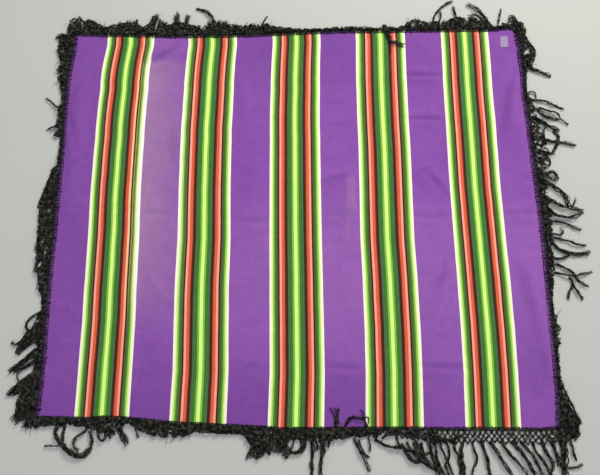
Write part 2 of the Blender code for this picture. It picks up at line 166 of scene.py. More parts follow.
# Fringe along each side. Reaches count from the cloth's edge. Where the reach is hardly
# more than the net, the locks are folded back on the net. Columns in millimetres: place
# along the side, net width, reach of the tip, drift of the tip along.
FRINGE = {
    "front": table((1000, 1000, 1000, 1000),
        -652, 19, 30, -24,  -632, 18, 28, -10,  -600, 12, 18, 0,  -582, 13, 24, 8,
        -532, 12, 20, 12,  -502, 12, 22, 8,  -472, 14, 34, 2,  -438, 14, 48, 6,
        -420, 10, 15, 0,  -392, 10, 14, 0,  -372, 14, 26, 0,  -345, 18, 38, 4,
        -275, 18, 38, -4,  -250, 14, 22, 0,  -104, 14, 22, -4,  -76, 20, 74, -16,
        -24, 20, 58, -8,  -10, 15, 26, 0,  22, 15, 26, 0,  48, 20, 30, -2,  98, 20, 32, 0,
        138, 14, 22, 0,  190, 14, 22, 4,  216, 12, 30, 6,  250, 12, 40, 16,  282, 20, 70, 20,
        316, 26, 98, 24,  346, 31, 35, 12,  622, 31, 35, 26,  643, 30, 34, 14,  661, 28, 30, 10),
    "back": table((1000, 1000, 1000, 1000),
        -660, 24, 44, -12,  -640, 24, 62, 0,  -595, 20, 46, 4,  -550, 17, 24, 0,
        -510, 18, 42, -4,  -480, 18, 48, -6,  -436, 16, 24, 0,  -412, 18, 62, 4,
        -386, 18, 44, 4,  -360, 20, 36, 2,  -338, 20, 50, -4,  -316, 20, 46, 2,
        -294, 21, 34, 0,  -258, 23, 40, 0,  -236, 23, 46, -10,  -208, 23, 46, 2,
        -170, 22, 35, 0,  -100, 23, 38, 0,  -80, 21, 36, 6,  -56, 16, 24, 0,  60, 10, 14, 0,
        110, 11, 18, 0,  205, 10, 16, 0,  236, 10, 13, 0,  262, 8, 20, 0,  300, 8, 12, 0,
        352, 16, 42, -2,  384, 16, 28, 0,  434, 16, 34, 4,  462, 18, 44, 0,  520, 18, 42, 0,
        546, 16, 30, -10,  566, 5, 8, 0,  604, 5, 8, 0,  636, 16, 32, -14),
    "left": table((1000, 1000, 1000, 1000),
        -522, 26, 63, -16,  -492, 25, 56, -24,  -458, 22, 46, -20,  -430, 18, 26, -10,
        -402, 18, 30, -14,  -380, 15, 20, -8,  -356, 14, 18, -8,  -330, 20, 40, -16,
        -298, 18, 38, -4,  -262, 12, 18, 0,  -222, 13, 23, 0,  -160, 18, 46, 2,  30, 20, 52, 2,
        110, 14, 30, -4,  136, 6, 10, 0,  210, 4, 6, 0,  230, 8, 28, -6,  248, 8, 36, -2,
        288, 8, 22, 0,  308, 8, 28, 6,  330, 8, 14, 0,  385, 14, 26, -2,  434, 22, 44, -6,
        460, 23, 36, 0,  490, 24, 50, 2,  528, 24, 56, 6),
    "right": table((1000, 1000, 1000, 1000),
        -534, 22, 34, -20,  -490, 16, 24, -20,  -440, 10, 14, -12,  -400, 8, 12, 0,
        -366, 8, 10, 0,  -344, 15, 24, 0,  -290, 18, 28, 0,  -262, 10, 14, 0,  -240, 9, 12, 0,
        -206, 14, 18, 0,  -160, 20, 26, 0,  -100, 20, 28, 0,  -50, 22, 30, 0,  10, 24, 38, 0,
        60, 22, 32, 0,  84, 24, 42, 0,  110, 22, 36, 0,  156, 28, 50, 0,  181, 26, 48, 0,
        206, 24, 42, 0,  240, 30, 52, 0,  270, 24, 36, 0,  296, 18, 28, 0,  314, 10, 24, 4,
        342, 5, 8, 0,  394, 5, 7, 0,  414, 10, 26, -10,  436, 16, 36, 2,  480, 18, 40, 0,
        528, 18, 26, 8),
}

# Net: knots about a pitch apart along the side, in rows, ruffled where it is bunched.
NET_PITCH = 0.0130
NET_ROWS = 4
NET_NEAT_WIDTH = 0.030
NET_NEAT_REACH = 0.006
NET_RUFFLE = 0.0046
NET_LEAST_RUFFLE = 0.0030
NET_EDGE_RUFFLE = 0.3
NET_USUAL_WIDTH = 0.020
NET_RUFFLE_GRAIN = 70.0
NET_HEIGHT = 0.0022
CORNER_REACH = 0.020
NET_GIRTHS = {"front": (0.8, 1.5), "back": (0.8, 1.4), "left": (0.8, 1.4),
              "right": (0.40, 0.85)}
KNOT_SIZE = 0.0030
KNOT_UNEVEN = 0.35
KNOT_GRAIN = 900

# Locks: what hangs from the net. Each is about as long as the neat ones at the front
# right, so in a narrow place it doubles back on itself.
LOCK_LENGTH = 0.118
LOCK_PITCH = {"front": 0.0110, "back": 0.0110, "left": 0.0100, "right": 0.0280}
LOCK_HEIGHT = 0.0028
LOCK_PILE = 0.0060
LOCK_HALF = 0.0045
LOCK_GIRTHS = {"front": (0.5, 1.15), "back": (0.5, 1.15), "left": (0.5, 1.15),
               "right": (0.35, 0.8)}
LAID_GIRTHS = {"front": 1.35, "back": 1.35, "left": 1.35, "right": 1.70}
GATHERED_LENGTH = 0.060
GATHERED_PITCH = {"front": 0.0100, "back": 0.0080, "left": 0.0080, "right": 0.0600}
LOOSE_STEP = 0.0070
LOOSE_CURL = (45.0, 115.0)
LOOSE_TURN = 0.35
LOOSE_UNEVEN = 0.0015
WISP_REACH = 0.024
WISP_STEPS = 6
WISP_STEP = 0.0045
WISP_CURL = 70.0
WISP_ASIDE = 0.004
FAN_UNEVEN = 0.06

# Where the net shows through: from and to, along the front, and the share of the locks
# that still lie over it.
OPEN_STRETCH = (0.190, 0.325)
OPEN_SHARE = 0.22

# Locks given one by one, where one stands out. Each is its girth in tenths of the
# common one, then the x and y of its points from root to tip, in millimetres.
LAID_LOCKS = {
    "front": (
        (10, -575, -548, -582, -566, -568, -592, -548, -610, -520, -624, -496, -614, -488, -590,
         -497, -563),
        (9, -560, -550, -562, -575, -560, -595, -540, -612, -515, -620, -498, -606),
        (7, -500, -548, -508, -566, -530, -580, -532, -600, -520, -612),
        (3, -552, -596, -575, -600, -606, -600),
        (9, -478, -550, -474, -574, -464, -586, -455, -575, -462, -556),
        (11, -442, -550, -446, -566, -443, -580),
        (21, -422, -548, -414, -570, -400, -594),
        (3, -385, -552, -378, -566, -374, -580),
        (5, -90, -590, -100, -612, -106, -626),
        (8, 37, -580, 38, -593, 30, -606, 16, -611, 4, -608, -3, -614, -8, -623),
        (4, 4, -574, 9, -585, 5, -597, 0, -607),
        (5, 22, -575, 28, -588, 26, -600, 17, -610),
        (5, -6, -574, -8, -590, -2, -601, 2, -609),
        (10, -18, -577, -12, -596, -10, -611, -14, -622),
        (5, -60, -598, -72, -614, -82, -624),
        (6, 20, -575, 34, -586, 26, -602, 0, -610, -20, -614),
        (15, 48, -572, 55, -600, 52, -640, 54, -682),
        (9, 74, -574, 78, -600, 74, -640, 76, -676),
        (7, 70, -580, 84, -600, 78, -618, 70, -640),
        (8, 154, -574, 166, -598, 178, -618, 190, -650),
        (5, 166, -578, 176, -604, 190, -618),
        (6, 188, -572, 193, -590, 192, -606),
        (7, 222, -574, 236, -566, 262, -562, 290, -570, 312, -590),
        (11, 206, -576, 236, -592, 268, -596, 300, -606, 330, -634),
        (12, 268, -586, 281, -609, 297, -626, 310, -624, 319, -609, 308, -590),
        (12, 332, -580, 338, -600, 344, -622, 351, -644, 362, -676),
        (6, 346, -582, 350, -597, 353, -622, 364, -648, 374, -680),
        (7, 362, -582, 363, -597, 373, -620, 384, -644, 392, -684),
        (6, 376, -582, 381, -599, 379, -620, 370, -634, 377, -654, 386, -680),
        (9, 394, -582, 394, -597, 404, -614, 405, -638, 408, -688),
        (12, 415, -582, 409, -599, 410, -619, 414, -645, 413, -690),
        (9, 437, -582, 441, -599, 444, -621, 436, -642, 430, -664, 432, -686),
        (12, 460, -580, 463, -599, 469, -621, 473, -646, 475, -690),
        (10, 480, -578, 488, -594, 501, -616, 518, -640, 540, -680),
        (10, 506, -580, 522, -604, 546, -632, 564, -664, 570, -688),
        (11, 530, -578, 552, -604, 570, -632, 582, -660, 596, -686),
        (9, 552, -578, 572, -602, 590, -636, 602, -664),
        (9, 580, -578, 586, -602, 610, -640, 620, -676),
        (9, 602, -578, 610, -604, 622, -628, 614, -652),
        (13, 626, -578, 632, -604, 641, -630, 656, -664),
        (22, 648, -545, 650, -574, 648, -606, 650, -648),
        (5, 632, -630, 662, -637, 692, -629),
        (6, 668, -570, 672, -600, 678, -618),
    ),
    "back": (
        (6, -414, 565, -410, 590, -402, 606),
        (5, -340, 565, -338, 592, -346, 612),
        (5, -318, 565, -312, 585, -316, 602),
        (10, -232, 560, -238, 588, -258, 612, -288, 622),
        (5, -94, 560, -88, 576, -79, 592),
        (8, 398, 556, 406, 586, 428, 612, 458, 630),
        (6, 414, 556, 422, 580, 420, 596),
        (8, 466, 556, 466, 582, 458, 612),
        (11, 556, 548, 546, 574, 528, 602, 498, 617),
        (8, 548, 548, 536, 570, 520, 582, 500, 576),
        (3, 582, 546, 588, 572, 596, 602),
        (11, 647, 514, 648, 530, 641, 548, 632, 565, 625, 575, 618, 573, 616, 563),
        (12, 641, 512, 639, 528, 633, 542, 628, 557, 627, 568),
        (9, 652, 514, 656, 526, 651, 539, 644, 549),
        (10, -652, 548, -650, 578, -636, 604),
    ),
    "left": (
        (9, -652, 532, -676, 540, -702, 536),
        (5, -655, 444, -672, 436, -688, 428),
        (5, -652, 300, -678, 316, -710, 342),
        (4, -652, 252, -676, 250, -696, 244),
        (4, -652, 224, -664, 222, -676, 226),
        (11, -660, 120, -674, 84, -686, 44, -691, 12),
        (10, -655, 100, -662, 62, -669, 24, -674, -12),
        (11, -657, 56, -671, 18, -683, -24, -685, -58),
        (10, -656, 4, -666, -36, -679, -78, -684, -112),
        (9, -655, -30, -660, -66, -666, -102, -670, -134),
        (10, -654, -70, -665, -104, -677, -138, -681, -164),
        (9, -653, -120, -662, -152, -667, -184, -662, -212),
        (9, -650, -270, -671, -280, -684, -295, -683, -312, -669, -320, -655, -313, -648, -297),
        (8, -655, -314, -680, -324, -695, -344, -708, -354, -721, -349),
        (10, -655, -330, -678, -352, -702, -379),
        (10, -655, -366, -684, -394, -718, -424),
        (4, -697, -421, -694, -435, -689, -450),
        (11, -655, -426, -686, -450, -714, -479),
        (12, -655, -486, -676, -510, -694, -540),
    ),
    "right": (
        (11, 644, 506, 654, 494, 667, 484, 675, 469, 675, 450, 667, 432, 660, 418),
        (10, 651, 495, 661, 487, 669, 471, 669, 450, 660, 435, 652, 422),
        (9, 646, 446, 653, 451, 660, 449, 660, 435, 654, 419, 666, 411),
        (8, 646, 430, 650, 435, 655, 432, 659, 422, 667, 409),
        (7, 648, 412, 652, 414, 658, 410, 669, 402),
        (8, 656, 412, 673, 404, 691, 397, 704, 390, 716, 385),
        (3, 644, 322, 648, 334, 658, 339, 666, 333, 669, 320),
        (5, 645, 317, 672, 313, 692, 308, 712, 299, 740, 285),
        (4, 674, 291, 696, 281, 719, 271, 729, 254, 747, 241),
        (8, 647, 305, 669, 285, 685, 266, 706, 258, 726, 254),
        (10, 652, 262, 667, 255, 686, 242, 706, 228, 723, 222),
        (7, 659, 205, 679, 198, 699, 191, 719, 188, 761, 178),
        (10, 708, 222, 718, 202, 709, 177, 699, 158),
        (10, 649, 177, 658, 161, 678, 158),
        (10, 650, 160, 665, 159, 685, 156, 703, 159),
        (5, 666, 137, 674, 124, 685, 121, 690, 131, 684, 147),
        (9, 651, 103, 671, 99, 692, 102, 702, 91, 696, 82, 682, 87),
        (11, 655, 78, 677, 71, 699, 56, 715, 42, 722, 28, 724, 9),
        (3, 734, 9, 741, 18, 745, 31),
        (9, 652, 44, 668, 31, 687, 19, 708, 8, 728, 3, 761, -6),
        (9, 658, 16, 673, -2, 692, -18, 711, -24, 731, -21, 749, -14, 758, -8),
        (6, 658, -43, 679, -34, 701, -36, 720, -42, 736, -53, 750, -56),
        (3, 673, -64, 692, -70, 703, -61, 697, -51),
        (5, 665, -73, 688, -79, 716, -88, 735, -95, 758, -97),
        (8, 669, -85, 683, -103, 699, -113, 721, -119, 735, -122, 760, -120),
        (6, 667, -126, 680, -133, 700, -129, 721, -120, 738, -119, 766, -115),
        (5, 676, -146, 695, -155, 713, -167, 720, -177, 727, -190, 752, -205),
        (5, 671, -167, 693, -174, 715, -178, 740, -172, 766, -168),
        (5, 706, -181, 712, -190, 712, -204, 702, -218, 700, -238),
        (5, 712, -198, 722, -215, 734, -238),
        (4, 667, -100, 667, -114, 667, -135, 672, -146),
    ),
}

# Locks that lie side by side in a tuft. Columns: count, girth in tenths, then the x and y
# in millimetres of the first root, the last root, the first tip and the last tip, then the
# bow of their middles to the left, in percent of their length.
FANS = {
    "front": (
        (5, 11, -84, -575, -62, -578, -98, -624, -68, -622, 5),
        (9, 10, -80, -572, -18, -574, -86, -614, -22, -610, 10),
        (4, 9, 60, -575, 96, -578, 66, -604, 92, -598, 5),
        (4, 10, 280, -582, 334, -584, 340, -640, 366, -656, -8),
    ),
    "back": (
        (7, 11, -664, 536, -602, 552, -664, 574, -614, 592, 3),
        (6, 10, -528, 552, -458, 552, -512, 582, -464, 592, -5),
        (7, 10, -424, 553, -380, 553, -414, 604, -374, 578, 5),
        (2, 8, -340, 553, -334, 553, -352, 606, -346, 600, 5),
        (2, 8, -328, 553, -320, 553, -318, 598, -310, 600, -5),
        (7, 10, -250, 550, -196, 550, -246, 582, -200, 580, 8),
    ),
    "left": (
        (5, 11, -646, -300, -647, -322, -705, -376, -697, -372, -14),
        (4, 11, -647, -322, -647, -338, -697, -374, -690, -364, -4),
        (6, 10, -647, -362, -645, -400, -718, -423, -704, -426, 2),
        (6, 10, -646, -416, -645, -450, -713, -479, -701, -479, 2),
        (10, 12, -648, -440, -642, -548, -686, -486, -664, -556, 0),
        (5, 11, -650, -480, -648, -520, -690, -524, -686, -548, 3),
    ),
    "right": (
        (8, 12, 646, -412, 654, -510, 699, -542, 682, -572, 1),
        (6, 11, 652, -470, 656, -538, 692, -562, 668, -576, 2),
        (3, 9, 648, -548, 654, -550, 648, -618, 656, -616, 0),
    ),
}

# Locks that fell back over the cloth, set down as the given ones.
OVER_CLOTH = {
    "front": (
        (17, 108, -566, 110, -556, 112, -537, 114, -520, 114, -505),
        (12, 114, -566, 114, -550, 115, -530, 116, -516, 119, -509),
        (6, 112, -540, 106, -522, 102, -514, 98, -505),
        (15, 129, -568, 132, -556, 136, -543, 144, -532, 156, -527, 170, -529, 182, -529),
        (7, 184, -564, 184, -543, 181, -529, 178, -519, 173, -510),
        (5, 181, -527, 189, -525, 191, -531, 187, -549, 184, -562),
        (10, 92, -566, 106, -558, 134, -556, 158, -559, 172, -567),
    ),
    "back": (
        (20, 260, 553, 266, 540, 270, 520, 274, 503, 292, 497, 314, 488),
        (20, 256, 553, 264, 542, 270, 526, 275, 508),
        (7, 270, 520, 273, 500, 275, 480, 274, 462),
    ),
    "left": (),
    "right": (
        (13, 594, 552, 612, 544, 627, 530, 637, 511, 643, 490),
    ),
}

# Yarn: one ply of it, and how a lock, a net cord and the edge's cord are put together.
# The plies lie a distance from the cord's middle and wander there. They open towards the
# tip and keep a share of their girth there. Fibres stand off a square metre of yarn.
YARN_COLUMNS = ("Plies", "Ply radius", "Ply distance", "Turn length", "Wander", "Opening",
                "Tip share", "Fibres")
YARNS = {
    "lock": (4, 0.00165, 0.0022, 0.070, 0.0018, 0.30, 0.60, 3000.0),
    "net": (2, 0.00145, 0.0011, 0.014, 0.0006, 0.0, 0.95, 2500.0),
    "laid": (6, 0.00155, 0.0024, 0.080, 0.0018, 0.40, 0.50, 7000.0),
    "over": (5, 0.00150, 0.0022, 0.060, 0.0018, 0.35, 0.45, 9000.0),
    "gathered": (2, 0.00160, 0.0020, 0.030, 0.0020, 0.0, 0.80, 2000.0),
    "edge": (2, 0.00120, 0.0009, 0.015, 0.0006, 0.0, 1.00, 0.0),
    "wisp": (1, 0.00060, 0.0, 0.030, 0.0012, 0.0, 0.50, 0.0),
    "inner": (2, 0.00078, 0.0008, 0.011, 0.0008, 0.0, 1.00, 0.0),
}
ALL_YARN = {"Step": 0.0046, "Sides": 3, "Highest": 0.0155, "Twist length": 0.0090,
            "Fibre radius": 0.00022}

# Overcast stitches that bind the cloth's edge, the cord in it, and the thread that locks
# their inner ends.
STITCH_PITCH = 0.0058
STITCH_IN = {"front": 0.0055, "back": 0.0098, "left": 0.0135, "right": 0.0130}
STITCH_OUT = 0.0026
STITCH_RADIUS = 0.00105
EDGE_STEP = 0.012
CORD_OUT = 0.0022
CORD_RISE = 0.0002
THREAD_RISE = 0.0004
THREAD_OUT = 0.0012

# Camera and surroundings. A light's columns: name, place, aim, size, power, colour.
CAMERA_PLACE = (0.0853, -0.4462, 1.4938)
CAMERA_TURN = (14.036, 2.385, 0.339)
CAMERA_LENS = 35.0
FLOOR_SIZE = 8.0
FLOOR_DROP = 0.0002
LIGHTS = (
    ("key", (1.67, 2.88, 2.4), (0.0, 0.1, 0.0), 1.3, 138.0, "fffaf2"),
    ("fill", (-0.6, -1.2, 3.0), (0.0, -0.1, 0.0), 2.6, 27.0, "f4f8ff"),
)
SKY_COLOUR = "eef0f2"
SKY_STRENGTH = 0.48


def blend(rows, place):
    """The values of a table at a place, between the two rows on either side of it."""
    if place <= rows[0][0]:
        return rows[0][1:]
    for low, high in zip(rows, rows[1:]):
        if place <= high[0]:
            share = (place - low[0]) / (high[0] - low[0])
            return [a + (b - a) * share for a, b in zip(low[1:], high[1:])]
    return rows[-1][1:]


def even_steps(low, high, pitch):
    """Evenly spaced values from low to high, about one pitch apart."""
    count = max(1, round((high - low) / pitch))
    return [low + (high - low) * step / count for step in range(count + 1)]


def smooth_step(low, high, value):
    """A soft rise from 0 at low to 1 at high."""
    share = min(max((value - low) / (high - low), 0.0), 1.0)
    return share * share * (3.0 - 2.0 * share)


# The cloth's form

def edge_point(side, share):
    """A point on one edge of the cloth, a share of the way along it."""
    out, _, start, end = SIDES[side]
    bow, = blend(EDGE_BOWS[side], share)
    return start.lerp(end, share) + out * (bow + BORDERS[side])


def cloth_point(across, along):
    """Where a point of the flat cloth, measured from its middle, lies on the surface."""
    u = across / CLOTH_WIDTH + 0.5
    v = along / CLOTH_LENGTH + 0.5
    point = FRONT_LEFT.lerp(FRONT_RIGHT, u).lerp(BACK_LEFT.lerp(BACK_RIGHT, u), v)
    for side, share, near in (("front", u, 1.0 - v), ("back", u, v), ("left", v, 1.0 - u),
                              ("right", v, smooth_step(OUTER_STRIP, 1.0, u))):
        bow, = blend(EDGE_BOWS[side], share)
        point = point + SIDES[side][0] * bow * near
    for side, share in (("front", 1.0 - v), ("back", v), ("left", 1.0 - u), ("right", u)):
        border = BORDERS[side] * smooth_step(OUTER_STRIP, 1.0, share)
        point = point + SIDES[side][0] * border
    return point


def pulled_aside(across, along):
    """How far a point was pulled aside: with its band, or between those on either side."""
    v = along / CLOTH_LENGTH + 0.5
    stops = [(-CLOTH_WIDTH / 2, 0.0)]
    for (front, back, half), shift in zip(BANDS, blend(PULLS, along)):
        middle = (front + (back - front) * v - 0.5) * CLOTH_WIDTH
        stops += [(middle - half / 1000, shift), (middle + half / 1000, shift)]
    shift, = blend(stops + [(CLOTH_WIDTH / 2, 0.0)], across)
    return shift


def fold_lift(across, along):
    """How far the largest folds raise the cloth there."""
    place = Vector((across, along))
    lift = 0.0
    for start_x, start_y, end_x, end_y, height, half_width in FOLDS:
        start = Vector((start_x, start_y))
        run = Vector((end_x, end_y)) - start
        inside = (place - start).dot(run) / run.length
        inside = min(inside, run.length - inside) / min(FOLD_END, run.length / 2)
        aside = abs((place - start).dot(run.orthogonal().normalized())) / half_width
        if aside < 1.0 and inside > 0.0:
            rise = 0.5 + 0.5 * math.cos(math.pi * aside)
            ramp = 0.5 - 0.5 * math.cos(math.pi * min(inside, 1.0))
            lift = max(lift, height * rise * ramp)
    return lift


def creases_beside(across, along):
    """For each crease that a point lies beside: its height, how much of that is left so
    near its end, how far to its left the point lies, and its half width."""
    for start_x, start_y, end_x, end_y, bow, height, half_width in CREASES:
        run_x, run_y = end_x - start_x, end_y - start_y
        length = math.hypot(run_x, run_y)
        off_x, off_y = across - start_x, along - start_y
        share = (off_x * run_x + off_y * run_y) / length ** 2
        aside = (off_y * run_x - off_x * run_y) / length - bow * 4 * share * (1 - share)
        if 0.0 < share < 1.0:
            yield height, math.sin(math.pi * share) ** 0.8, aside, half_width


def crease_lift(across, along):
    """How far the finer creases raise the cloth there."""
    lift = 0.0
    for height, fade, aside, half_width in creases_beside(across, along):
        if abs(aside) > 3 * CREASE_SWELL * half_width:
            continue
        narrow = math.exp(-(aside / half_width) ** 2)
        if height > 0.0:
            lift += height * fade * narrow
        else:
            swell = math.exp(-(aside / (CREASE_SWELL * half_width)) ** 2)
            lift -= height * fade * swell * (1.0 - narrow)
    return lift


def crease_shade_and_dust(across, along):
    """How dark the creases' troughs are painted there, as painted shade and dust: 0 none, 1 the
    most.
    """
    deep = 0.0
    for height, fade, aside, half_width in creases_beside(across, along):
        deep += max(-height, 0.0) * fade * math.exp(-(aside / half_width) ** 2)
    return min(deep / SHADE_AND_DUST_DEPTH, 1.0)


def cloth_lift(across, along):
    """Every rise of the cloth's underside off the surface: folds, creases and ripples."""
    ripple = noise.noise(Vector((across, along, 0.0)) / RIPPLE_PITCH)
    ripple += 0.5 * noise.noise(Vector((across, along, 0.7)) * 2.3 / RIPPLE_PITCH)
    edge = min(CLOTH_WIDTH / 2 - abs(across), CLOTH_LENGTH / 2 - abs(along))
    inner = smooth_step(0.0, CREASE_MARGIN, edge)
    lift = fold_lift(across, along) + crease_lift(across, along) * inner
    return max(0.0, lift + RIPPLE * (0.4 + ripple))


def top_of_cloth(across, along):
    """A point on the cloth's upper face."""
    x, y = cloth_point(across, along)
    return Vector((x + pulled_aside(across, along), y, CLOTH_THICK + cloth_lift(across, along)))


# Building blocks

def linear(hex_colour):
    """An sRGB hex colour as linear RGBA."""
    shares = [int(hex_colour[i:i + 2], 16) / 255 for i in (0, 2, 4)]
    bright = [s / 12.92 if s <= 0.04045 else ((s + 0.055) / 1.055) ** 2.4 for s in shares]
    return (*bright, 1.0)


def add(tree, kind, *inputs, **more):
    """Add a node to a tree, with its inputs in the order that it shows them.

    A name with a capital letter is one more input, and a name without one is a setting. A
    node given as an input stands for the first output that it shows. Inputs beyond those
    that it shows go to further nodes of the kind, each with the last one's result.
    """
    names = [start + "Node" + kind for start in ("", "Shader", "Geometry", "Function")]
    node = tree.nodes.new(next(name for name in names if hasattr(bpy.types, name)))
    for name, value in more.items():
        if name[0].islower():
            setattr(node, name, value)
    shown = [socket for socket in node.inputs if socket.enabled]
    named = [(node.inputs[name.replace("_", " ")], value) for name, value in more.items()
             if name[0].isupper()]
    for socket, value in [*zip(shown, inputs), *named]:
        if isinstance(value, bpy.types.Node):
            value = next(output for output in value.outputs if output.enabled)
        if isinstance(value, bpy.types.NodeSocket):
            tree.links.new(value, socket)
        else:
            socket.default_value = linear(value) if socket.type == "RGBA" else value
    rest = inputs[len(shown):]
    return add(tree, kind, node, *rest, **more) if rest else node


def new_object(name, data):
    """An object for a mesh, light or camera, in the scene."""
    thing = bpy.data.objects.new(name, data)
    bpy.context.scene.collection.objects.link(thing)
    return thing


def set_down(name, bm, material, smooth=False):
    """An object of one material from a bmesh, made smooth or left as it is."""
    for face in bm.faces:
        face.smooth = face.smooth or smooth
        face.material_index = 0
    mesh = bpy.data.meshes.new(name)
    bm.to_mesh(mesh)
    bm.free()
    mesh.materials.append(material)
    return new_object(name, mesh)


def settle(thing):
    """Apply an object's modifiers to its mesh."""
    depsgraph = bpy.context.evaluated_depsgraph_get()
    mesh = bpy.data.meshes.new_from_object(thing.evaluated_get(depsgraph))
    thing.modifiers.clear()
    thing.data = mesh
    mesh.name = thing.name
    return thing


def join(name, parts, material):
    """One object of one material from several, their meshes side by side."""
    bm = bmesh.new()
    for part in parts:
        bm.from_mesh(part.data)
        bpy.data.objects.remove(part, do_unlink=True)
    return set_down(name, bm, material)


# Materials

# Half a stripe band, from its outer edge to its middle; the other half mirrors it.
# Columns: where the stripe starts, in millimetres from the outer edge, its colour, and
# its colour where the cloth is bleached.
STRIPES = (
    (0.0, "fffcdc", "ffffff"), (5.0, "e2f7a0", "fbfddc"), (8.5, "94d255", "f2f7b8"),
    (12.5, "478a2a", "93b254"), (16.0, "52652c", "5c7030"), (19.0, "54582c", "a59e62"),
    (22.0, "3e2511", "35230a"), (26.0, "fba68f", "ffcb94"), (31.8, "e35d42", "e2563e"),
    (39.2, "6e2a12", "6a2812"), (42.2, "36240f", "36240f"), (47.3, "4c6a44", "4c6a44"),
    (53.3, "3a7a22", "3a7a22"), (59.3, "7fc049", "84c84e"), (64.0, "e0ff88", "e0ff88"),
)
HALF_BAND = 68.5
ACROSS, ALONG = 0, 1


def new_material(name, roughness, sheen, sheen_tint, gloss=0.25):
    """A material and its nodes, with the shader's plain settings, which stay unlinked."""
    material = bpy.data.materials.new(name)
    material.use_nodes = True
    shader = material.node_tree.nodes["Principled BSDF"]
    for socket, value in (("Roughness", roughness), ("Sheen Weight", sheen),
                          ("Sheen Roughness", 0.5), ("Sheen Tint", linear(sheen_tint)),
                          ("Specular IOR Level", gloss)):
        shader.inputs[socket].default_value = value
    return material, material.node_tree


def dress(material, colour, **relief):
    """Give a material its colour, and its relief where it has one."""
    tree = material.node_tree
    shader = tree.nodes["Principled BSDF"]
    tree.links.new(colour.outputs["Result"], shader.inputs["Base Color"])
    if relief:
        tree.links.new(add(tree, "Bump", **relief).outputs[0], shader.inputs["Normal"])
    return material


def patch(tree, metres, *factors):
    """How strongly something shows on a part of the cloth: the product of its factors.

    A factor is a value, or a soft ramp from 0 to 1: its axis, and where it starts and ends,
    in millimetres from the cloth's middle.
    """
    axes = add(tree, "SeparateXYZ", metres).outputs
    values = []
    for value in factors:
        if isinstance(value, tuple):
            half = (CLOTH_WIDTH, CLOTH_LENGTH)[value[0]] / 2
            value = add(tree, "MapRange", axes[value[0]], half + value[1] / 1000,
                        half + value[2] / 1000, interpolation_type="SMOOTHSTEP")
        values.append(value)
    return add(tree, "Math", *values, operation="MULTIPLY")


def striped_cloth():
    """Woven acrylic cloth with soft serape stripes, dyed in the yarn.

    To the eye: flat bright colour, a faint thread grain both ways, and a paler bleached
    streak beside the leftmost band.
    """
    material, tree = new_material("striped woven acrylic", 0.9, 0.05, "d9c8e6")
    place = add(tree, "UVMap", uv_map="cloth")
    metres = add(tree, "VectorMath", place, (CLOTH_WIDTH, CLOTH_LENGTH, 1.0),
                 operation="MULTIPLY")
    bleached = bleach_mask(tree, metres)
    bands, in_band = stripe_colours(tree, place, metres, bleached)
    purple = purple_colour(tree, metres, bleached)
    colour = add(tree, "Mix", in_band, purple, bands, data_type="RGBA")
    # Painted shade beside the binding, with its loose black fibre, darkens the cloth at its
    # edges.
    colour = add(tree, "Mix", edge_shade_and_fuzz(tree, metres), colour, "1c1220", data_type="RGBA")
    threads, grain = thread_grain(tree, metres)
    nap = add(tree, "TexNoise", metres, 48.0, 5.0, 0.65)
    for tone, share in ((grain, 0.14), (nap, 0.24)):
        colour = add(tree, "Mix", share, colour, tone, data_type="RGBA",
                     blend_type="SOFT_LIGHT")
    return dress(material, colour, Strength=0.35, Distance=0.0004, Height=threads)


def stripe_colours(tree, place, metres, bleached):
    """The colour of the stripe at each place, and where the bands are."""
    across, along, _ = add(tree, "SeparateXYZ", place).outputs
    offs = []
    for front, back, half in BANDS:
        middle = add(tree, "MapRange", along, 0.0, 1.0, front, back)
        off = add(tree, "Math", across, middle, operation="SUBTRACT")
        off = add(tree, "Math", off, operation="ABSOLUTE")
        offs.append(add(tree, "Math", off, HALF_BAND / half, operation="MULTIPLY"))
    nearest = add(tree, "Math", *offs, operation="MINIMUM")
    # The weft beats each stripe's edge a little to and fro, a few threads at a time.
    wander = add(tree, "TexNoise", metres, 330.0, 1.0)
    wander = add(tree, "MapRange", wander, 0.0, 1.0, -0.6, 0.6)
    from_edge = add(tree, "Math", nearest, -CLOTH_WIDTH * 1000, HALF_BAND,
                    operation="MULTIPLY_ADD")
    from_edge = add(tree, "Math", from_edge, wander)
    share = add(tree, "Math", from_edge, HALF_BAND, operation="DIVIDE")
    ramps = []
    for column in (1, 2):
        ramp = add(tree, "ValToRGB", share)
        ramp.color_ramp.interpolation = "CONSTANT"
        stops = ramp.color_ramp.elements
        while len(stops) < len(STRIPES):
            stops.new(1.0)
        for stop, stripe in zip(stops, STRIPES):
            stop.position = stripe[0] / HALF_BAND
            stop.color = linear(stripe[column])
        ramps.append(ramp)
    colour = add(tree, "Mix", bleached, *ramps, data_type="RGBA")
    return colour, add(tree, "Math", from_edge, 0.0, operation="GREATER_THAN")


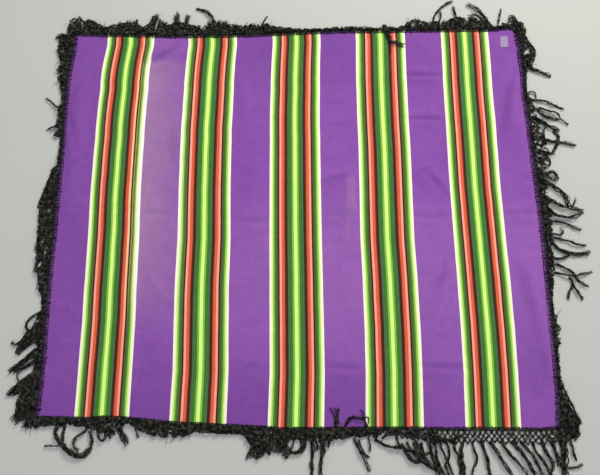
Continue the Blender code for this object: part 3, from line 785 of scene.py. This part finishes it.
def purple_colour(tree, metres, bleached):
    """The purple ground: painted shade along the left, the front and the back and in the
    creases' troughs, with their dust; a painted pool of light a little in front of the
    middle; paler where bleached, and in a small pale patch and streak.
    """
    across = add(tree, "SeparateXYZ", metres).outputs[ACROSS]
    middle = CLOTH_WIDTH / 2
    cloud = add(tree, "TexNoise", metres, 5.0, 3.0)
    purple = add(tree, "Mix", cloud, "8045a2", "9159ae", data_type="RGBA")
    # Painted shade: the purple darkens along the left, the front and the back, and in the
    # creases' troughs, where it also stands for their dust.
    depth = add(tree, "MapRange", across, middle + 0.10, middle + 0.60, 0.50, 0.28)
    troughs_shade_and_dust = add(tree, "Attribute", attribute_name="trough_shade_and_dust").outputs["Fac"]
    painted_shade_and_dust = add(tree, "Math",
               patch(tree, metres, (ACROSS, -350, -600), 0.35),
               patch(tree, metres, (ALONG, -320, -520), (ACROSS, 620, 50), 0.55),
               patch(tree, metres, (ALONG, 220, 500), (ACROSS, -400, -50), depth),
               patch(tree, metres, troughs_shade_and_dust, 0.80), operation="MAXIMUM")
    purple = add(tree, "Mix", painted_shade_and_dust, purple, "6f3c8e", data_type="RGBA")
    # Painted light: a paler pool across the cloth, a little in front of its middle.
    depth = add(tree, "MapRange", across, middle + 0.20, middle + 0.34, 0.36, 0.24)
    painted_light_pool = patch(tree, metres, (ALONG, 100, -70), (ALONG, -460, -220),
                      (ACROSS, -450, 120), depth)
    purple = add(tree, "Mix", painted_light_pool, purple, "a872bb", data_type="RGBA")
    # A small pale patch near the middle, and a pale streak below it.
    paleness = patch(tree, metres, (ACROSS, 142, 156), (ACROSS, 184, 164), (ALONG, -20, 30),
                 (ALONG, 135, 70), 0.45)
    streak = patch(tree, metres, (ACROSS, 140, 150), (ACROSS, 162, 152), (ALONG, -120, -50),
                   (ALONG, 60, 0), 0.28)
    pale = add(tree, "Math", paleness, streak, bleached, operation="MAXIMUM")
    return add(tree, "Mix", pale, purple, "a47ba7", data_type="RGBA")


def bleach_mask(tree, metres):
    """Where the cloth is bleached: beside the leftmost band, up to a fold line at the back."""
    across, along, _ = add(tree, "SeparateXYZ", metres).outputs
    cloud = add(tree, "TexNoise", metres, 9.0, 2.0)
    cloud = add(tree, "MapRange", cloud, 0.3, 0.6, 0.72, 1.0)
    fades = add(tree, "MapRange", across, CLOTH_WIDTH / 2 - 0.250, CLOTH_WIDTH / 2 - 0.400)
    back = add(tree, "MapRange", along, CLOTH_LENGTH / 2 + 0.468, CLOTH_LENGTH / 2 + 0.446,
               0.22, 1.0)
    return patch(tree, metres, (ACROSS, -444, -430), fades, back, (ALONG, -370, -130), cloud)


def edge_shade_and_fuzz(tree, metres):
    """How dark the cloth is close to its edges: painted shade beside the black binding, and the
    binding's loose fibre lying on the cloth.
    """
    across, along, _ = add(tree, "SeparateXYZ", metres).outputs
    uneven = add(tree, "TexNoise", metres, 220.0, 2.0)
    uneven = add(tree, "MapRange", uneven, 0.3, 0.7, -0.002, 0.002)
    edges = []
    for place, inner, edge in ((across, 0.0150, 0.0050),
                               (across, CLOTH_WIDTH - 0.0150, CLOTH_WIDTH - 0.0050),
                               (along, 0.0065, 0.0),
                               (along, CLOTH_LENGTH - 0.0125, CLOTH_LENGTH - 0.0040)):
        out = add(tree, "Math", place, uneven)
        edges.append(add(tree, "MapRange", out, inner, edge, interpolation_type="SMOOTHSTEP"))
    near = add(tree, "Math", *edges, operation="MAXIMUM")
    return add(tree, "Math", near, 0.68, operation="MULTIPLY")


def thread_grain(tree, metres):
    """Height of the threads, and the tone of single uneven threads each way.

    Real threads lie 0.7 mm apart. They are drawn 4 mm apart, so that they show.
    """
    tones = []
    for stretch in ((30.0, 260.0, 1.0), (260.0, 22.0, 1.0)):
        stretched = add(tree, "VectorMath", metres, stretch, operation="MULTIPLY")
        tones.append(add(tree, "TexNoise", stretched, 1.0, 1.0))
    grain = add(tree, "Mix", 0.5, *tones, data_type="RGBA")
    ribs = add(tree, "TexWave", metres, 157.0, 0.6, 1.0, bands_direction="Y")
    return add(tree, "Math", ribs, tones[1], operation="MULTIPLY"), grain


def black_yarn():
    """Loosely spun black wool. To the eye: almost no shine, with a greyish nap."""
    material, tree = new_material("black wool yarn", 0.92, 0.07, "8c8c84", 0.16)
    place = add(tree, "TexCoord").outputs["Object"]
    # Each ply is two ends twisted together, which shows as ridges that wind round it.
    ring = add(tree, "Attribute", attribute_name="ring").outputs["Vector"]
    x, y, _ = add(tree, "SeparateXYZ", ring).outputs
    angle = add(tree, "Math", y, x, operation="ARCTAN2")
    turns = add(tree, "Attribute", attribute_name="twist").outputs["Fac"]
    angle = add(tree, "Math", turns, 2 * math.pi, angle, operation="MULTIPLY_ADD")
    ridge = add(tree, "Math", angle, operation="SINE")
    ridge = add(tree, "Math", ridge, operation="ABSOLUTE")
    # Fibres on real yarn are under 0.1 mm. Drawn 1 mm across, so that they show.
    fibres = add(tree, "TexNoise", place, 1000.0, 3.0, Distortion=1.5)
    tone = add(tree, "TexNoise", place, 120.0, 4.0)
    tone = add(tree, "MapRange", tone, 0.35, 0.68)
    # Painted shade: the crevices between the ridges are darker in colour, and the ridges paler.
    paleness = add(tree, "Math", ridge, 0.6, 0.4, operation="MULTIPLY_ADD")
    share = add(tree, "Math", tone, tone, paleness, operation="MULTIPLY")
    colour = add(tree, "Mix", share, "080707", "6c6c62", data_type="RGBA")
    height = add(tree, "Math", fibres, 0.8, ridge, operation="MULTIPLY_ADD")
    return dress(material, colour, Strength=0.9, Distance=0.0009, Height=height)


def label_tape():
    """Woven satin tape, bare. To the eye: pale lilac, faint ribs, a slight gloss."""
    material, tree = new_material("woven satin label tape", 0.55, 0.1, "ffffff")
    place = add(tree, "TexCoord").outputs["Object"]
    tone = add(tree, "TexNoise", place, 120.0, 2.0)
    colour = add(tree, "Mix", tone, "876a9c", "ad98ba", data_type="RGBA")
    ribs = add(tree, "TexWave", place, 320.0, bands_direction="Y")
    return dress(material, colour, Strength=0.4, Distance=0.0003, Height=ribs)


def matte_floor():
    """Plain pale painted floor."""
    material, tree = new_material("pale matte floor", 0.9, 0.0, "ffffff")
    tone = add(tree, "TexNoise", add(tree, "TexCoord").outputs["Object"], 1.5, 2.0)
    return dress(material, add(tree, "Mix", tone, "bdbfbb", "c4c6c1", data_type="RGBA"))


# The cloth and its label

def add_sheet(name, middle, width, length, step, height, thick, material, lean=0.0):
    """A thin shell that follows the cloth, at a height above its underside. It leans to
    the side by a share of the way along."""
    columns = even_steps(middle[0] - width / 2, middle[0] + width / 2, step)
    rows = even_steps(middle[1] - length / 2, middle[1] + length / 2, step)
    bm = bmesh.new()
    bmesh.ops.create_grid(bm, x_segments=len(columns) - 1, y_segments=len(rows) - 1, size=0.5)
    layer = bm.loops.layers.uv.new("cloth")
    # Painted shade and dust in the creases' troughs, kept on each point for the cloth's colour.
    trough_shade_and_dust = bm.verts.layers.float.new("trough_shade_and_dust")
    for vert in bm.verts:
        across = columns[round((vert.co.x + 0.5) * (len(columns) - 1))]
        along = rows[round((vert.co.y + 0.5) * (len(rows) - 1))]
        across += lean * (along - middle[1])
        for loop in vert.link_loops:
            loop[layer].uv = (across / CLOTH_WIDTH + 0.5, along / CLOTH_LENGTH + 0.5)
        vert[trough_shade_and_dust] = crease_shade_and_dust(across, along)
        vert.co = top_of_cloth(across, along) + Vector((0.0, 0.0, height - CLOTH_THICK))
    sheet = set_down(name, bm, material, True)
    solid = sheet.modifiers.new("thickness", "SOLIDIFY")
    solid.thickness = thick
    solid.offset = 1.0
    return settle(sheet)


# Yarn

def new_tree(name, **inputs):
    """A tree for a modifier, and its named inputs, each under its kind."""
    tree = bpy.data.node_groups.new(name, "GeometryNodeTree")
    for kind, labels in inputs.items():
        for label in labels:
            tree.interface.new_socket(label, in_out="INPUT", socket_type="NodeSocket" + kind)
    tree.interface.new_socket("Made", in_out="OUTPUT", socket_type="NodeSocketGeometry")
    return tree, add(tree, "GroupInput").outputs


def yarn_tree():
    """Nodes that spin yarn along guide lines: plies wound round each line, each with its
    own wander, opening towards the tip, and kept off the floor."""
    tree, given = new_tree(
        "spun yarn", Geometry=["Guides"], Int=["Plies", "Sides"],
        Float=[*YARN_COLUMNS[1:], "Step", "Lowest", "Highest", "Twist length", "Fibre radius"],
        Material=["Yarn"])
    guide = add(tree, "MeshToCurve", given["Guides"])
    guide = add(tree, "CurveSplineType", guide, spline_type="CATMULL_ROM")
    guide = add(tree, "ResampleCurve", guide, Length=given["Step"], mode="LENGTH")
    plies = add(tree, "DuplicateElements", guide, Amount=given["Plies"], domain="SPLINE")
    spline = add(tree, "FieldOnDomain", add(tree, "InputIndex"), domain="CURVE",
                 data_type="INT")
    along, length, _ = add(tree, "SplineParameter").outputs
    girth = add(tree, "InputNamedAttribute", "girth", data_type="FLOAT")

    # Angle of a ply round its cord: an even share for each, and turns along the length.
    share = add(tree, "Math", plies.outputs[1], given["Plies"], operation="DIVIDE")
    turns = add(tree, "Math", length, given["Turn length"], operation="DIVIDE")
    turns = add(tree, "Math", share, turns)
    angle = add(tree, "Math", turns, 2 * math.pi, operation="MULTIPLY")
    opened = add(tree, "Math", along, 2.0, operation="POWER")
    opened = add(tree, "Math", opened, given["Opening"], 1.0, operation="MULTIPLY_ADD")
    off_middle = add(tree, "RandomValue", 0.10, 1.15, spline, 11)
    distance = add(tree, "Math", given["Ply distance"], opened, girth, off_middle,
                   operation="MULTIPLY")
    normal = add(tree, "InputNormal")
    across = add(tree, "VectorMath", add(tree, "InputTangent"), normal,
                 operation="CROSS_PRODUCT")
    offsets = []
    for axis, part in ((normal, "COSINE"), (across, "SINE")):
        reach = add(tree, "Math", angle, operation=part)
        reach = add(tree, "Math", reach, distance, operation="MULTIPLY")
        offsets.append(add(tree, "VectorMath", axis, reach, operation="SCALE"))

    # Wander: smooth noise that differs from ply to ply and grows towards the tip.
    own = add(tree, "RandomValue", (0.0, 0.0, 0.0), (9.0, 9.0, 9.0), spline, 7,
              data_type="FLOAT_VECTOR")
    here = add(tree, "InputPosition")
    sway = add(tree, "TexNoise", add(tree, "VectorMath", here, own), 55.0, 1.0).outputs[1]
    sway = add(tree, "VectorMath", sway, (0.5, 0.5, 0.5), operation="SUBTRACT")
    growth = add(tree, "Math", along, 2.5, 1.5, operation="MULTIPLY_ADD")
    growth = add(tree, "Math", growth, given["Wander"], 2.0, operation="MULTIPLY")
    sway = add(tree, "VectorMath", sway, growth, operation="SCALE")
    offset = add(tree, "VectorMath", *offsets, sway)

    # Thickness: thinner to the tip, and a little different in each ply.
    thin = add(tree, "MapRange", along, 0.0, 1.0, 1.0, given["Tip share"])
    own = add(tree, "RandomValue", 0.8, 1.2, spline, 3)
    stout = add(tree, "Math", girth, 0.5, operation="POWER")
    size = add(tree, "Math", given["Ply radius"], thin, own, stout, operation="MULTIPLY")

    # Kept off the floor.
    moved = add(tree, "VectorMath", here, offset)
    x, y, z = add(tree, "SeparateXYZ", moved).outputs
    lowest = add(tree, "Math", given["Lowest"], size)
    z = add(tree, "Math", z, lowest, operation="MAXIMUM")
    moved = add(tree, "CombineXYZ", x, y, z)
    strands = add(tree, "SetPosition", plies, Position=moved)

    # For the material: how far the ply's own twist has turned, and the place round it.
    twist = add(tree, "Math", length, given["Twist length"], operation="DIVIDE")
    strands = add(tree, "StoreNamedAttribute", strands, Name="twist", Value=twist)
    section = add(tree, "CurvePrimitiveCircle", given["Sides"], Radius=1.0)
    section = add(tree, "StoreNamedAttribute", section, Name="ring", Value=here,
                  data_type="FLOAT_VECTOR")
    tubes = add(tree, "CurveToMesh", strands, section, size, True)
    tubes = add(tree, "SetShadeSmooth", tubes)

    # Loose fibres, each bent over, on the yarn's upper side.
    facing = add(tree, "SeparateXYZ", normal).outputs[2]
    upper = add(tree, "Compare", facing, 0.2, operation="GREATER_THAN")
    spots = add(tree, "DistributePointsOnFaces", tubes, upper, given["Fibres"], 9)
    fibre = add(tree, "CurveQuadraticBezier", 3, (0.0, 0.0, -0.0006), (0.0010, 0.0, 0.0040),
                (0.0062, 0.0006, 0.0014))
    fibre = add(tree, "CurveToMesh", fibre, section, given["Fibre radius"], True)
    turn = add(tree, "RandomValue", (-0.3, -0.3, 0.0), (0.3, 0.3, 6.28), Seed=10,
               data_type="FLOAT_VECTOR")
    turn = add(tree, "RotateRotation", spots.outputs["Rotation"], turn,
               rotation_space="LOCAL")
    size = add(tree, "RandomValue", 0.5, 1.6, Seed=12)
    fibres = add(tree, "InstanceOnPoints", spots, Instance=fibre, Rotation=turn, Scale=size)
    both = add(tree, "JoinGeometry", tubes)
    tree.links.new(fibres.outputs[0], both.inputs[0])
    made = add(tree, "RealizeInstances", both)
    x, y, z = add(tree, "SeparateXYZ", here).outputs
    z = add(tree, "Clamp", z, given["Lowest"], given["Highest"])
    made = add(tree, "SetPosition", made, Position=add(tree, "CombineXYZ", x, y, z))
    made = add(tree, "SetMaterial", made, Material=given["Yarn"])
    add(tree, "GroupOutput", made)
    return tree


def work_along(name, routes, tree, values):
    """What a tree makes along routes, each with its girth, with these values for its
    named inputs."""
    places, edges, girths = [], [], []
    for girth, route in routes:
        first = len(places)
        places += [tuple(point) for point in route]
        girths += [girth] * len(route)
        edges += [(n, n + 1) for n in range(first, len(places) - 1)]
    mesh = bpy.data.meshes.new(name)
    mesh.from_pydata(places, edges, [])
    mesh.attributes.new("girth", "FLOAT", "POINT").data.foreach_set("value", girths)
    guides = new_object(name, mesh)
    modifier = guides.modifiers.new(tree.name, "NODES")
    modifier.node_group = tree
    for item in tree.interface.items_tree:
        if item.in_out == "INPUT" and item.name in values:
            modifier[item.identifier] = values[item.name]
    return settle(guides)


def spin(name, routes, kind, tree, material, lowest=0.0):
    """Yarn of one kind spun along routes."""
    return work_along(name, routes, tree, {**ALL_YARN, **dict(zip(YARN_COLUMNS, YARNS[kind])),
                                           "Lowest": lowest, "Yarn": material})


# The fringe

def beside(side, place, depth):
    """A point beside one edge: at a place along the side, a depth out from the line the
    stitches reach in to, but never on the cloth."""
    out, run, start, end = SIDES[side]
    depth = max(depth - BORDERS[side], 0.25 * depth)
    share = (place - start.dot(run)) / (end - start).dot(run)
    edge = edge_point(side, min(max(share, 0.0), 1.0))
    return edge + run * (place - edge.dot(run)) + out * depth


def net_node(side, place, row):
    """Where a knot of the net lies: ruffled, more so where the net is bunched."""
    width, reach, _ = blend(FRINGE[side], place)
    x, y = beside(side, place, width * row / NET_ROWS)
    neat = smooth_step(0.8, 1.0, width / NET_NEAT_WIDTH)
    neat *= 1.0 - smooth_step(NET_NEAT_REACH, 2 * NET_NEAT_REACH, reach - width)
    ruffle = NET_RUFFLE * (1.0 - neat) * width / NET_USUAL_WIDTH + NET_LEAST_RUFFLE
    if row == 0:
        ruffle *= NET_EDGE_RUFFLE
    shift = noise.noise_vector(Vector((x, y, 0.0)) * NET_RUFFLE_GRAIN) * ruffle
    height = NET_HEIGHT + max(-0.5 * NET_HEIGHT, shift.z)
    return Vector((x + shift.x, y + shift.y, height))


def net_is_neat(side, place):
    """Whether the net lies open there, with only the given locks below it."""
    width, reach, _ = blend(FRINGE[side], place)
    return width >= NET_NEAT_WIDTH and reach - width < NET_NEAT_REACH


def net_is_open(side, place):
    """Whether few locks lie over the net there."""
    return side == "front" and OPEN_STRETCH[0] < place < OPEN_STRETCH[1]


def net_places(side):
    """Places along a side where the net's columns start."""
    _, run, start, end = SIDES[side]
    past = CORNER_REACH if side in ("front", "back") else 0.0
    return even_steps(start.dot(run) - past, end.dot(run) + past, NET_PITCH)


def net_routes(side):
    """The net's cords: from each place two of them zigzag outward, one to each hand."""
    chance = random.Random("net " + side)
    routes = []
    for place in net_places(side):
        for lean in (-0.5, 0.5):
            route = [net_node(side, place + (lean * NET_PITCH if row % 2 else 0.0), row)
                     for row in range(NET_ROWS + 1)]
            routes.append((chance.uniform(*NET_GIRTHS[side]), route))
    return routes


def add_knots(side, material):
    """The net's knots: small uneven balls of yarn."""
    bm = bmesh.new()
    for number, place in enumerate(net_places(side)):
        for row in range(1, NET_ROWS + 1):
            spot = net_node(side, place + (0.5 * NET_PITCH if row % 2 else 0.0), row)
            radius = KNOT_SIZE * smooth_step(-0.004, 0.014, blend(FRINGE[side], place)[0])
            made = bmesh.ops.create_icosphere(bm, subdivisions=1, radius=radius)["verts"]
            for vert in made:
                lump = noise.noise(vert.co * KNOT_GRAIN + Vector((number, row, 0.0)))
                vert.co = vert.co * (1.0 + KNOT_UNEVEN * lump) + spot
                vert.co.z = max(vert.co.z, 0.0)
    return set_down(side + "_knots", bm, material, True)


def loose_route(side, place, chance, length, whole):
    """A loose strand from the cloth's edge: outward, then in loops that keep to the
    whole of the fringe, or only to the net."""
    rows = FRINGE[side]
    steps = round(length * smooth_step(-0.008, 0.030, blend(rows, place)[1]) / LOOSE_STEP)
    depth, spot = 0.0, place
    heading = chance.uniform(-0.6, 0.6)
    curl = chance.uniform(*LOOSE_CURL) * chance.choice((-1.0, 1.0))
    pile = LOCK_PILE * chance.random() ** 2
    arrived = False
    route = []
    for number in range(steps + 1):
        width, reach, drift = blend(rows, spot)
        limit = max((reach if whole else width) - LOCK_HALF, 0.0)
        rise = pile * math.sin(math.pi * number / steps) + LOOSE_UNEVEN * chance.random()
        route.append(Vector((*beside(side, spot, depth), LOCK_HEIGHT + rise)))
        if number == 0 and whole:
            heading += math.atan2(drift, reach)
        depth += LOOSE_STEP * math.cos(heading)
        spot += LOOSE_STEP * math.sin(heading)
        heading += chance.uniform(-LOOSE_TURN, LOOSE_TURN) + curl * LOOSE_STEP * arrived
        if depth > limit and math.cos(heading) > 0.0:
            arrived = True
            heading = math.pi - heading
        if depth < (0.5 if whole else 0.1) * width and math.cos(heading) < 0.0:
            heading = math.pi - heading
        if not rows[0][0] < spot < rows[-1][0]:
            heading = -heading
        depth = min(max(depth, 0.0), limit)
    return route


def off_cloth(side, x, y):
    """A point moved out to one side's edge, if it would lie on the cloth."""
    out, run, start, end = SIDES[side]
    point = Vector((x, y))
    if start.dot(run) < point.dot(run) < end.dot(run):
        point += out * max((beside(side, point.dot(run), 0.0) - point).dot(out), 0.0)
    return point


def laid_route(side, points, chance):
    """One lock from its given (x, y) points, low at both ends."""
    last = len(points) - 1
    lift = LOCK_PILE * chance.uniform(0.2, 0.8)
    return [Vector((*off_cloth(side, x, y), LOCK_HEIGHT + lift * math.sin(math.pi * n / last)))
            for n, (x, y) in enumerate(points)]


def fan_routes(side, fan, chance):
    """Locks that lie side by side, from one line of roots to one of tips."""
    count, girth, *ends, bow = fan
    root_from, root_to, tip_from, tip_to = map(Vector, table((1000, 1000), *ends))
    for number in range(count):
        share = number / (count - 1)
        root = root_from.lerp(root_to, share)
        tip = root.lerp(tip_from.lerp(tip_to, share), chance.uniform(0.88, 1.04))
        aside = (tip - root).orthogonal() * (bow / 100 + chance.uniform(-FAN_UNEVEN, FAN_UNEVEN))
        points = [root.lerp(tip, part) + aside * 4 * part * (1 - part)
                  for part in (0.0, 0.25, 0.5, 0.75, 1.0)]
        yield girth / 10 * chance.uniform(0.8, 1.2), laid_route(side, points, chance)


def over_route(points):
    """A lock that lies on the cloth, rising to it from the net."""
    lying = CLOTH_THICK + LOCK_HEIGHT
    return [Vector((x, y, LOCK_HEIGHT if n == 0 else lying)) for n, (x, y) in enumerate(points)]


def wisp_route(side, place, chance):
    """A single loose ply that curls out of the locks."""
    _, reach, drift = blend(FRINGE[side], place)
    heading = chance.uniform(-0.9, 0.9)
    turning = chance.uniform(-WISP_CURL, WISP_CURL)
    out, run, _, _ = SIDES[side]
    point = beside(side, place, reach * chance.uniform(0.4, 0.8)) + run * drift * 0.5
    route = []
    for _ in range(WISP_STEPS):
        route.append(Vector((*point, 0.001 + 0.006 * chance.random())))
        heading += turning * WISP_STEP + chance.uniform(-0.3, 0.3)
        point = point + (out * math.cos(heading) + run * math.sin(heading)) * WISP_STEP
    return route


def fringe(side, tree, material):
    """All of one side's yarn: net, knots, locks and wisps, as one piece."""
    chance = random.Random("fringe " + side)
    rows = FRINGE[side]
    places, tight_places = (
        [place for place in even_steps(rows[0][0], rows[-1][0], pitch[side])
         if not net_is_neat(side, place)
         and (not net_is_open(side, place) or chance.random() < OPEN_SHARE)]
        for pitch in (LOCK_PITCH, GATHERED_PITCH))
    locks = [(chance.uniform(*LOCK_GIRTHS[side]),
              loose_route(side, place, chance, LOCK_LENGTH, True)) for place in places]
    laid = [(girth / 10 * LAID_GIRTHS[side],
             laid_route(side, table((1000, 1000), *points), chance))
            for girth, *points in LAID_LOCKS[side]]
    for fan in FANS[side]:
        laid += fan_routes(side, fan, chance)
    gathered = [(1.0, loose_route(side, place, chance, GATHERED_LENGTH, False))
                for place in tight_places]
    over = [(girth / 10, over_route(table((1000, 1000), *points)))
            for girth, *points in OVER_CLOTH[side]]
    wisps = [(1.0, wisp_route(side, place + WISP_ASIDE, chance)) for place in places
             if blend(rows, place)[1] > WISP_REACH]
    parts = [spin(side + "_" + kind, routes, kind, tree, material) for kind, routes in (
        ("net", net_routes(side)), ("gathered", gathered), ("lock", locks), ("laid", laid),
        ("wisp", wisps))]
    parts.append(add_knots(side, material))
    if over:
        parts.append(spin(side + "_over", over, "over", tree, material, CLOTH_THICK))
    return join(side + "_fringe_yarn", parts, material)


# The overcast edge

def stitch_tree():
    """Nodes that sew a slanting stitch over an edge at each step along it."""
    tree, given = new_tree("overcast stitches", Geometry=["Edge"],
                           Float=["Pitch", "In", "Out", "Thread radius"], Material=["Yarn"])
    edge = add(tree, "MeshToCurve", given["Edge"])
    spots = add(tree, "CurveToPoints", edge, given["Pitch"], mode="LENGTH")
    outward = add(tree, "Math", given["Out"], -1.0, operation="MULTIPLY")
    start = add(tree, "CombineXYZ", 0.0, given["In"], 0.0002)
    end = add(tree, "CombineXYZ", 0.0020, outward, -0.0002)
    arc = add(tree, "CurveQuadraticBezier", 5, start, (0.0012, 0.0, 0.0044), end)
    section = add(tree, "CurvePrimitiveCircle", 4, Radius=1.0)
    stitch = add(tree, "CurveToMesh", arc, section, given["Thread radius"], True)
    stitch = add(tree, "SetShadeSmooth", stitch)
    # Each stitch faces along the edge's tangent, with its own slant and length.
    facing = add(tree, "AxesToRotation", (0.0, 0.0, 1.0), spots.outputs["Tangent"],
                 primary_axis="Z", secondary_axis="X")
    slant = add(tree, "RandomValue", (-0.06, -0.06, -0.35), (0.06, 0.06, 0.15), Seed=5,
                data_type="FLOAT_VECTOR")
    facing = add(tree, "RotateRotation", facing, slant, rotation_space="LOCAL")
    size = add(tree, "RandomValue", (0.85, 0.65, 0.85), (1.2, 1.3, 1.15), Seed=6,
               data_type="FLOAT_VECTOR")
    sewn = add(tree, "InstanceOnPoints", spots, Instance=stitch, Rotation=facing, Scale=size)
    sewn = add(tree, "RealizeInstances", sewn)
    sewn = add(tree, "SetMaterial", sewn, Material=given["Yarn"])
    add(tree, "GroupOutput", sewn)
    return tree


def edge_route(side, outward, height, inset=0.0):
    """A line along one edge, inset on the cloth, then moved outward and up.

    It turns anticlockwise round the cloth.
    """
    out = SIDES[side][0]
    wide, deep = CLOTH_WIDTH / 2 - inset, CLOTH_LENGTH / 2 - inset
    half = wide if side in ("front", "back") else deep
    route = []
    for along in even_steps(-half, half, EDGE_STEP):
        flat = {"front": (along, -deep), "back": (-along, deep),
                "left": (-wide, -along), "right": (wide, along)}[side]
        x, y = cloth_point(*flat) + out * outward
        route.append(Vector((x, y, CLOTH_THICK + height + cloth_lift(*flat))))
    return route


def overcast_edge(yarn, stitches, material):
    """The cord along the cloth's edge, the stitches that bind it, and the thread that locks
    their inner ends, as one piece."""
    cords = [(1.0, edge_route(side, CORD_OUT, CORD_RISE)) for side in SIDES]
    inner = [(1.0, edge_route(side, 0.0, THREAD_RISE, reach - THREAD_OUT))
             for side, reach in STITCH_IN.items()]
    parts = [spin("edge_cord", cords, "edge", yarn, material),
             spin("inner_thread", inner, "inner", yarn, material)]
    for side, reach in STITCH_IN.items():
        parts.append(work_along(side + "_stitches", [(1.0, edge_route(side, 0.0, 0.0))],
                                stitches, {"Pitch": STITCH_PITCH, "In": reach,
                                           "Out": STITCH_OUT, "Yarn": material,
                                           "Thread radius": STITCH_RADIUS}))
    return join("overcast_edge", parts, material)


# Surroundings

def add_surroundings():
    """A plain floor under the shawl, soft square lights, a dim even sky, and the camera
    above the front of the shawl, looking down on it."""
    bm = bmesh.new()
    bmesh.ops.create_grid(bm, x_segments=1, y_segments=1, size=FLOOR_SIZE / 2)
    floor = set_down("floor", bm, matte_floor())
    floor.location.z = -FLOOR_DROP

    for name, place, aim, size, power, colour in LIGHTS:
        light = bpy.data.lights.new(name, "AREA")
        light.shape = "SQUARE"
        light.size = size
        light.energy = power
        light.color = linear(colour)[:3]
        lamp = new_object(name, light)
        lamp.location = place
        lamp.rotation_euler = (Vector(aim) - Vector(place)).to_track_quat("-Z", "Y").to_euler()

    world = bpy.data.worlds.new("studio")
    world.use_nodes = True
    back = world.node_tree.nodes["Background"]
    back.inputs[0].default_value = linear(SKY_COLOUR)
    back.inputs[1].default_value = SKY_STRENGTH
    bpy.context.scene.world = world
    bpy.context.scene.view_settings.view_transform = "Standard"

    camera = bpy.data.cameras.new("camera")
    camera.lens = CAMERA_LENS
    camera.sensor_width = 36.0
    holder = new_object("camera", camera)
    holder.location = CAMERA_PLACE
    holder.rotation_euler = Euler([math.radians(turn) for turn in CAMERA_TURN])
    bpy.context.scene.camera = holder


def main():
    """The shawl's pieces, what each stands for, and what surrounds them."""
    cloth = add_sheet("striped_cloth", (0.0, 0.0), CLOTH_WIDTH, CLOTH_LENGTH, CLOTH_STEP,
                      0.0, CLOTH_THICK, striped_cloth())
    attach(cloth, "root")
    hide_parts("shawl_panel")

    wool = black_yarn()
    yarn, stitches = yarn_tree(), stitch_tree()
    for side in SIDES:
        piece = fringe(side, yarn, wool)
        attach(piece, "root")
        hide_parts("fringe_" + side)
    binding = overcast_edge(yarn, stitches, wool)
    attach(binding, "root")

    label = add_sheet("blank_label", LABEL_MIDDLE, LABEL_WIDTH, LABEL_LENGTH, LABEL_STEP,
                      CLOTH_THICK + GAP, LABEL_THICK, label_tape(), LABEL_LEAN)
    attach(label, "root")
    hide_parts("label")

    add_surroundings()


main()
